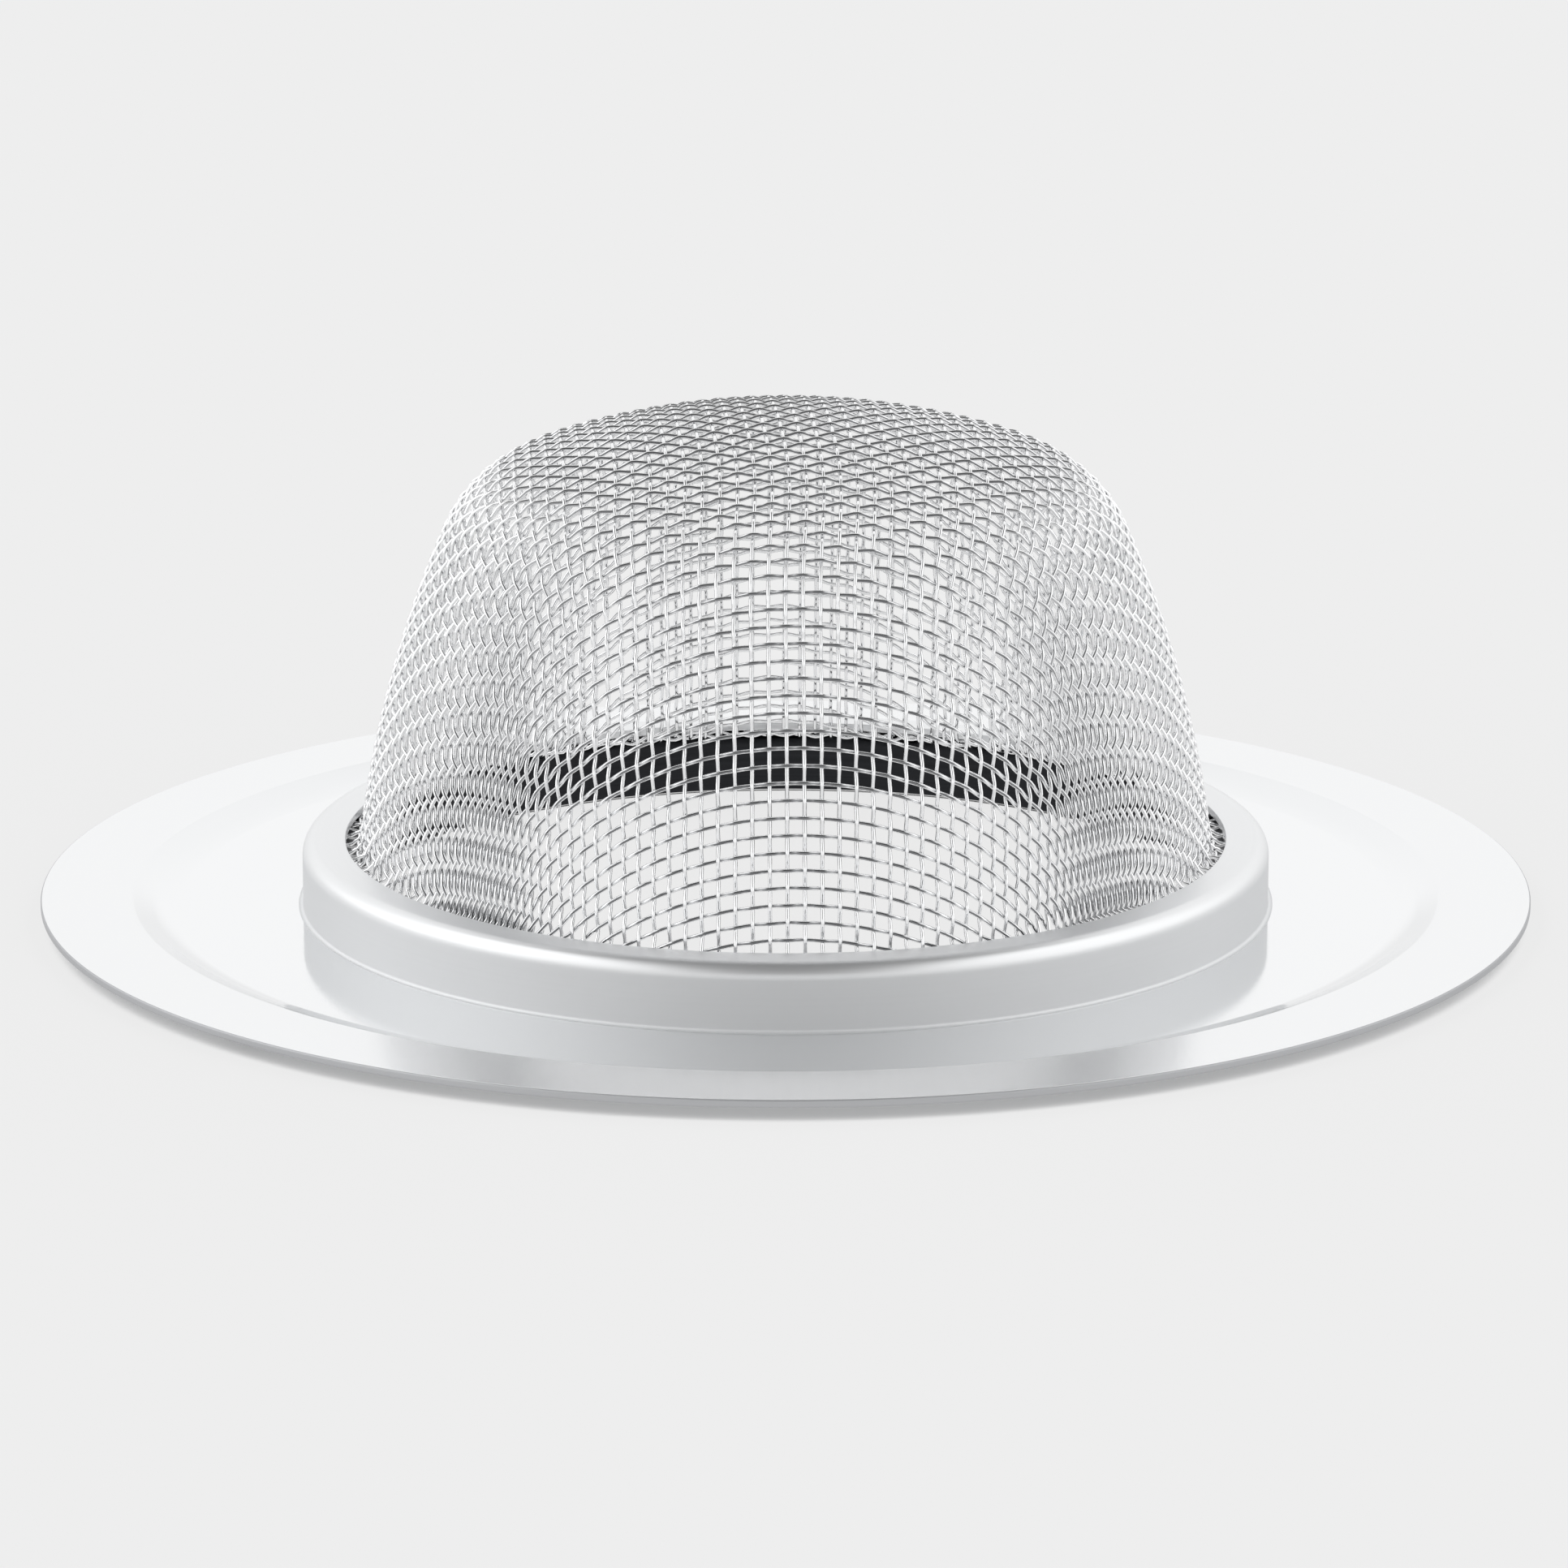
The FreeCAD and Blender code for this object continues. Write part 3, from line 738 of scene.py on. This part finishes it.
@dataclass
class MeshBasket:
    """Basket of plain-woven wire cloth, drawn from a flat disc.

    Wires do not stretch, so the square cells of the flat cloth keep their sides and shear to
    diamonds on the diagonals as the disc is drawn.
    """

    wire: float = 0.29
    pitch: float = 1.27
    sides: int = 1
    solve_tries: int = 30
    solve_miss: float = 1e-5
    solve_nudge: float = 1e-5
    solve_flat: float = 1e-9
    form: ClothForm = field(default_factory=ClothForm)

    def spot(self, run: float, angle: float) -> Vector:
        """Point of the drawn form at a run from the crown and an angle about the axis."""
        r, z, _ = self.form.drawn(run)
        return Vector((r * math.cos(angle), r * math.sin(angle), z))

    def next_crossing(
        self, before: tuple[float, float], left: tuple[float, float], right: tuple[float, float],
    ) -> Optional[tuple[float, float]]:
        """Find the crossing one step from its two neighbours along both ways of the wires.

        Args:
            before: run and angle of the crossing diagonally nearer to the crown.
            left: run and angle of the neighbour along the weft.
            right: run and angle of the neighbour along the warp.

        Returns:
            Run and angle of the crossing, or None where the cloth can't shear that far.
        """
        step = 0.5 * self.pitch
        nudge = self.solve_nudge
        run = left[0] + right[0] - before[0]
        angle = 0.5 * (left[1] + right[1])
        at_left = self.spot(*left)
        at_right = self.spot(*right)
        for _ in range(self.solve_tries):
            here = self.spot(run, angle)
            miss_left = (here - at_left).length - step
            miss_right = (here - at_right).length - step
            if abs(miss_left) + abs(miss_right) < self.solve_miss:
                return run, angle
            further = self.spot(run + nudge, angle)
            around = self.spot(run, angle + nudge)
            a = ((further - at_left).length - step - miss_left) / nudge
            b = ((around - at_left).length - step - miss_left) / nudge
            c = ((further - at_right).length - step - miss_right) / nudge
            d = ((around - at_right).length - step - miss_right) / nudge
            spread = a * d - b * c
            if abs(spread) < self.solve_flat:
                return None
            run -= (d * miss_left - b * miss_right) / spread
            angle -= (a * miss_right - c * miss_left) / spread
        return None

    def drape(self) -> dict[tuple[int, int], tuple[float, float]]:
        """Draw one quarter of the cloth.

        Returns:
            Run and angle of every half step of the weave, by its steps along both ways.
        """
        step = 0.5 * self.pitch
        limit = self.form.end_run + self.pitch
        reach = int(limit / step)
        net = {(0, 0): (0.0, 0.25 * math.pi)}
        for k in range(1, reach + 1):
            net[(k, 0)] = (k * step, 0.0)
            net[(0, k)] = (k * step, 0.5 * math.pi)
        for i in range(1, reach + 1):
            for j in range(1, reach + 1):
                near = [net.get((i - 1, j - 1)), net.get((i - 1, j)), net.get((i, j - 1))]
                if None in near:
                    continue
                found = self.next_crossing(*near)
                if found is not None and found[0] < limit:
                    net[(i, j)] = found
        return net

    def stretch(
        self, net: dict[tuple[int, int], tuple[float, float]], line: int, way: WireWay,
    ) -> list[tuple[float, float, float]]:
        """Follow half of one wire from the middle of the cloth to its clamped end.

        Args:
            net: the draped quarter.
            line: number of half steps from the axis to the wire.
            way: which way the wire runs.

        Returns:
            Run, angle and half steps along the wire, for each half step and the very end.
        """
        found = []
        k = 0
        while True:
            key = (line, k) if way is WireWay.WARP else (k, line)
            spot = net.get(key)
            if spot is None:
                return found
            if spot[0] > self.form.end_run:
                break
            found.append((spot[0], spot[1], float(k)))
            k += 1
        if found:
            last = found[-1]
            share = (self.form.end_run - last[0]) / (spot[0] - last[0])
            angle = last[1] + (spot[1] - last[1]) * share
            found.append((self.form.end_run, angle, last[2] + share))
        return found

    def woven_path(
        self, half: list[tuple[float, float, float]], line: int, way: WireWay, mirror: float,
    ) -> Iterator[Vector]:
        """Crimp one wire over and under those that it crosses.

        Args:
            half: one half of the wire, from the middle to its end.
            line: signed number of half steps from the axis to the wire.
            way: which way the wire runs.
            mirror: -1 for the warp's left or the weft's front, 1 for the other side.

        Yields:
            Points along the whole wire, in metres.
        """
        lay = math.sin(0.5 * math.pi * line) * (1.0 if way is WireWay.WARP else -1.0)
        base = []
        for end in (-1.0, 1.0):
            places = reversed(half[1:]) if end < 0.0 else half
            for run, angle, k in places:
                r, z, turn = self.form.flared(run)
                flip_x, flip_y = (mirror, end) if way is WireWay.WARP else (end, mirror)
                around = math.atan2(flip_y * math.sin(angle), flip_x * math.cos(angle))
                around += self.form.skew(run)
                outward = Vector((math.cos(around), math.sin(around), 0.0))
                point = outward * r + Vector((0.0, 0.0, z))
                normal = outward * math.sin(turn) + Vector((0.0, 0.0, math.cos(turn)))
                base.append((point, normal, end * k))
        for here, after in zip(base, base[1:]):
            for share in (0.0, 0.5):
                point, normal, k = (a + (b - a) * share for a, b in zip(here, after))
                crimp = 0.5 * self.wire * lay * math.sin(0.5 * math.pi * k)
                yield (point + normal.normalized() * crimp) * MM
        point, normal, k = base[-1]
        yield (point + normal * (0.5 * self.wire * lay * math.sin(0.5 * math.pi * k))) * MM

    def build(self) -> list[bpy.types.Object]:
        """Weave the basket as four sets of wires.

        Returns:
            The wires of the warp's two sides and the weft's two sides.
        """
        net = self.drape()
        lines = range(1, 2 * int(self.form.end_run / self.pitch) + 2, 2)
        names = {
            (WireWay.WARP, -1.0): "basket_warp_left",
            (WireWay.WARP, 1.0): "basket_warp_right",
            (WireWay.WEFT, -1.0): "basket_weft_front",
            (WireWay.WEFT, 1.0): "basket_weft_back",
        }
        pieces = []
        steels = {way: DrawnWire(way).material() for way in WireWay}
        for (way, mirror), name in names.items():
            curve = bpy.data.curves.new(name, "CURVE")
            curve.dimensions = "3D"
            curve.bevel_depth = 0.5 * self.wire * MM
            curve.bevel_resolution = self.sides
            curve.use_fill_caps = True
            for line in lines:
                half = self.stretch(net, line, way)
                if len(half) < 2:
                    continue
                path = list(self.woven_path(half, int(mirror) * line, way, mirror))
                spline = curve.splines.new("POLY")
                spline.points.add(len(path) - 1)
                for point, place in zip(spline.points, path):
                    point.co = (place.x, place.y, place.z, 1.0)
            piece = bpy.data.objects.new(name, curve)
            bpy.context.scene.collection.objects.link(piece)
            self.dress(piece, steels[way])
            pieces.append(piece)
        return pieces

    def dress(self, piece: bpy.types.Object, steel: bpy.types.Material) -> None:
        """Give a set of wires its finish and put it in the basket's place."""
        piece.data.materials.append(steel)
        settle(piece, "mesh_basket")


# Two values between which a light fades from nothing to full.
Fade = tuple[float, float]


@dataclass
class Studio:
    """Pale paper floor, soft light from all round and the camera of the photograph.

    The edges of the lights are parts of the unit direction towards them: width, depth or height.
    """

    floor_size: float = 6.0
    elevation: float = math.radians(15.5)
    distance: float = 600.0
    pixels_per_mm: float = 16.04
    frame_pixels: float = 1932.0
    sensor: float = 36.0
    aim_height: float = 1.7
    aim_x: float = 968.0
    aim_y: float = 1086.7
    clip_near: float = 0.01
    clip_far: float = 50.0
    tent_light: float = 1.08
    left_light: float = 1.62
    right_light: float = 1.36
    side_width: Fade = (0.6, 0.92)
    back_light: float = 0.95
    back_depth: Fade = (0.05, 0.5)
    back_height: Fade = (0.24, 0.1)
    card_light: float = 0.95
    card_width: Fade = (0.8, 0.5)
    card_depth: Fade = (0.05, -0.3)
    left_box: float = 1.85
    right_box: float = 1.6
    box_width: Fade = (-0.1, 0.1)
    box_depth: Fade = (0.6, 0.2)
    box_height: Fade = (0.3, 0.5)
    slit_light: float = 0.2
    slit_width: Fade = (0.55, 0.3)
    slit_depth: Fade = (0.64, 0.36)
    slit_height: Fade = (0.3, 0.48)
    paper: MattePaper = field(default_factory=MattePaper)

    def floor(self) -> bpy.types.Object:
        """Lay the paper floor under the rim."""
        shape = bmesh.new()
        bmesh.ops.create_grid(shape, x_segments=1, y_segments=1, size=0.5 * self.floor_size)
        mesh = bpy.data.meshes.new("paper_floor")
        shape.to_mesh(mesh)
        shape.free()
        mesh.materials.append(self.paper.material())
        floor = bpy.data.objects.new("paper_floor", mesh)
        bpy.context.scene.collection.objects.link(floor)
        return floor

    def surroundings(self) -> None:
        """Light the scene with a light tent.

        Its sides are lit brightest and its back and front are plain. Two boxes hang over the front,
        and the slit between them is dark.
        """
        world = bpy.data.worlds.new("light_tent")
        world.use_nodes = True
        tree = world.node_tree
        background = tree.nodes["Background"]
        towards = add_node(tree, "ShaderNodeTexCoord").outputs["Generated"]
        across, deep, high = add_node(tree, "ShaderNodeSeparateXYZ", sockets={0: towards}).outputs

        def fade(
            value: bpy.types.NodeSocket, edge: Fade, side: float = 1.0,
        ) -> bpy.types.NodeSocket:
            """Fade from 0 to 1 across an edge, or across its mirror image for a side of -1."""
            return add_node(
                tree, "ShaderNodeMapRange", {"interpolation_type": "SMOOTHSTEP"},
                {"Value": value, "From Min": side * edge[0], "From Max": side * edge[1]},
            ).outputs["Result"]

        def blend(share: bpy.types.NodeSocket, first: Any, second: Any) -> bpy.types.NodeSocket:
            """Mix two light levels."""
            return add_node(tree, "ShaderNodeMix", None, {0: share, 2: first, 3: second}).outputs[0]

        def both(first: bpy.types.NodeSocket, second: bpy.types.NodeSocket) -> bpy.types.NodeSocket:
            """Keep only what two shares have in common."""
            return add_node(
                tree, "ShaderNodeMath", {"operation": "MULTIPLY"}, {0: first, 1: second},
            ).outputs[0]

        light = blend(fade(across, self.side_width, -1.0), self.tent_light, self.left_light)
        light = blend(fade(across, self.side_width), light, self.right_light)
        back = both(fade(deep, self.back_depth), fade(high, self.back_height))
        light = blend(back, light, self.back_light)
        middle = both(fade(across, self.card_width, -1.0), fade(across, self.card_width))
        light = blend(both(fade(deep, self.card_depth), middle), light, self.card_light)
        boxes = blend(fade(across, self.box_width), self.left_box, self.right_box)
        above = both(fade(deep, self.box_depth), fade(high, self.box_height))
        light = blend(both(above, middle), light, boxes)
        between = both(fade(across, self.slit_width, -1.0), fade(across, self.slit_width))
        slit = both(fade(deep, self.slit_depth), fade(high, self.slit_height))
        light = blend(both(slit, between), light, self.slit_light)
        tree.links.new(light, background.inputs["Strength"])
        background.inputs["Color"].default_value = (1.0, 1.0, 1.0, 1.0)
        bpy.context.scene.world = world

    def camera(self) -> bpy.types.Object:
        """Set the camera at the photograph's angle, distance and framing."""
        lens = bpy.data.cameras.new("photo_camera")
        lens.sensor_width = self.sensor
        lens.lens = self.pixels_per_mm * self.distance / self.frame_pixels * self.sensor
        middle = 0.5 * self.frame_pixels
        lens.shift_x = (middle - self.aim_x) / self.frame_pixels
        lens.shift_y = (self.aim_y - middle) / self.frame_pixels
        lens.clip_start = self.clip_near
        lens.clip_end = self.clip_far
        camera = bpy.data.objects.new("photo_camera", lens)
        camera.location = Vector((
            0.0,
            -self.distance * math.cos(self.elevation),
            self.aim_height + self.distance * math.sin(self.elevation),
        )) * MM
        camera.rotation_euler = (0.5 * math.pi - self.elevation, 0.0, 0.0)
        bpy.context.scene.collection.objects.link(camera)
        bpy.context.scene.camera = camera
        return camera


def main() -> None:
    """Build the studio and the pieces in order, and log each piece once it is in place."""
    logging.basicConfig(level=logging.INFO, format="%(name)s: %(message)s")
    bpy.context.scene.view_settings.view_transform = "Standard"
    studio = Studio()
    studio.floor()
    studio.surroundings()
    studio.camera()
    pieces = [Rim().build(), RetainingRing().build()]
    pieces.extend(MeshBasket().build())
    for piece in pieces:
        LOG.info("%s is in place", piece.name)


if __name__ == "__main__":
    main()
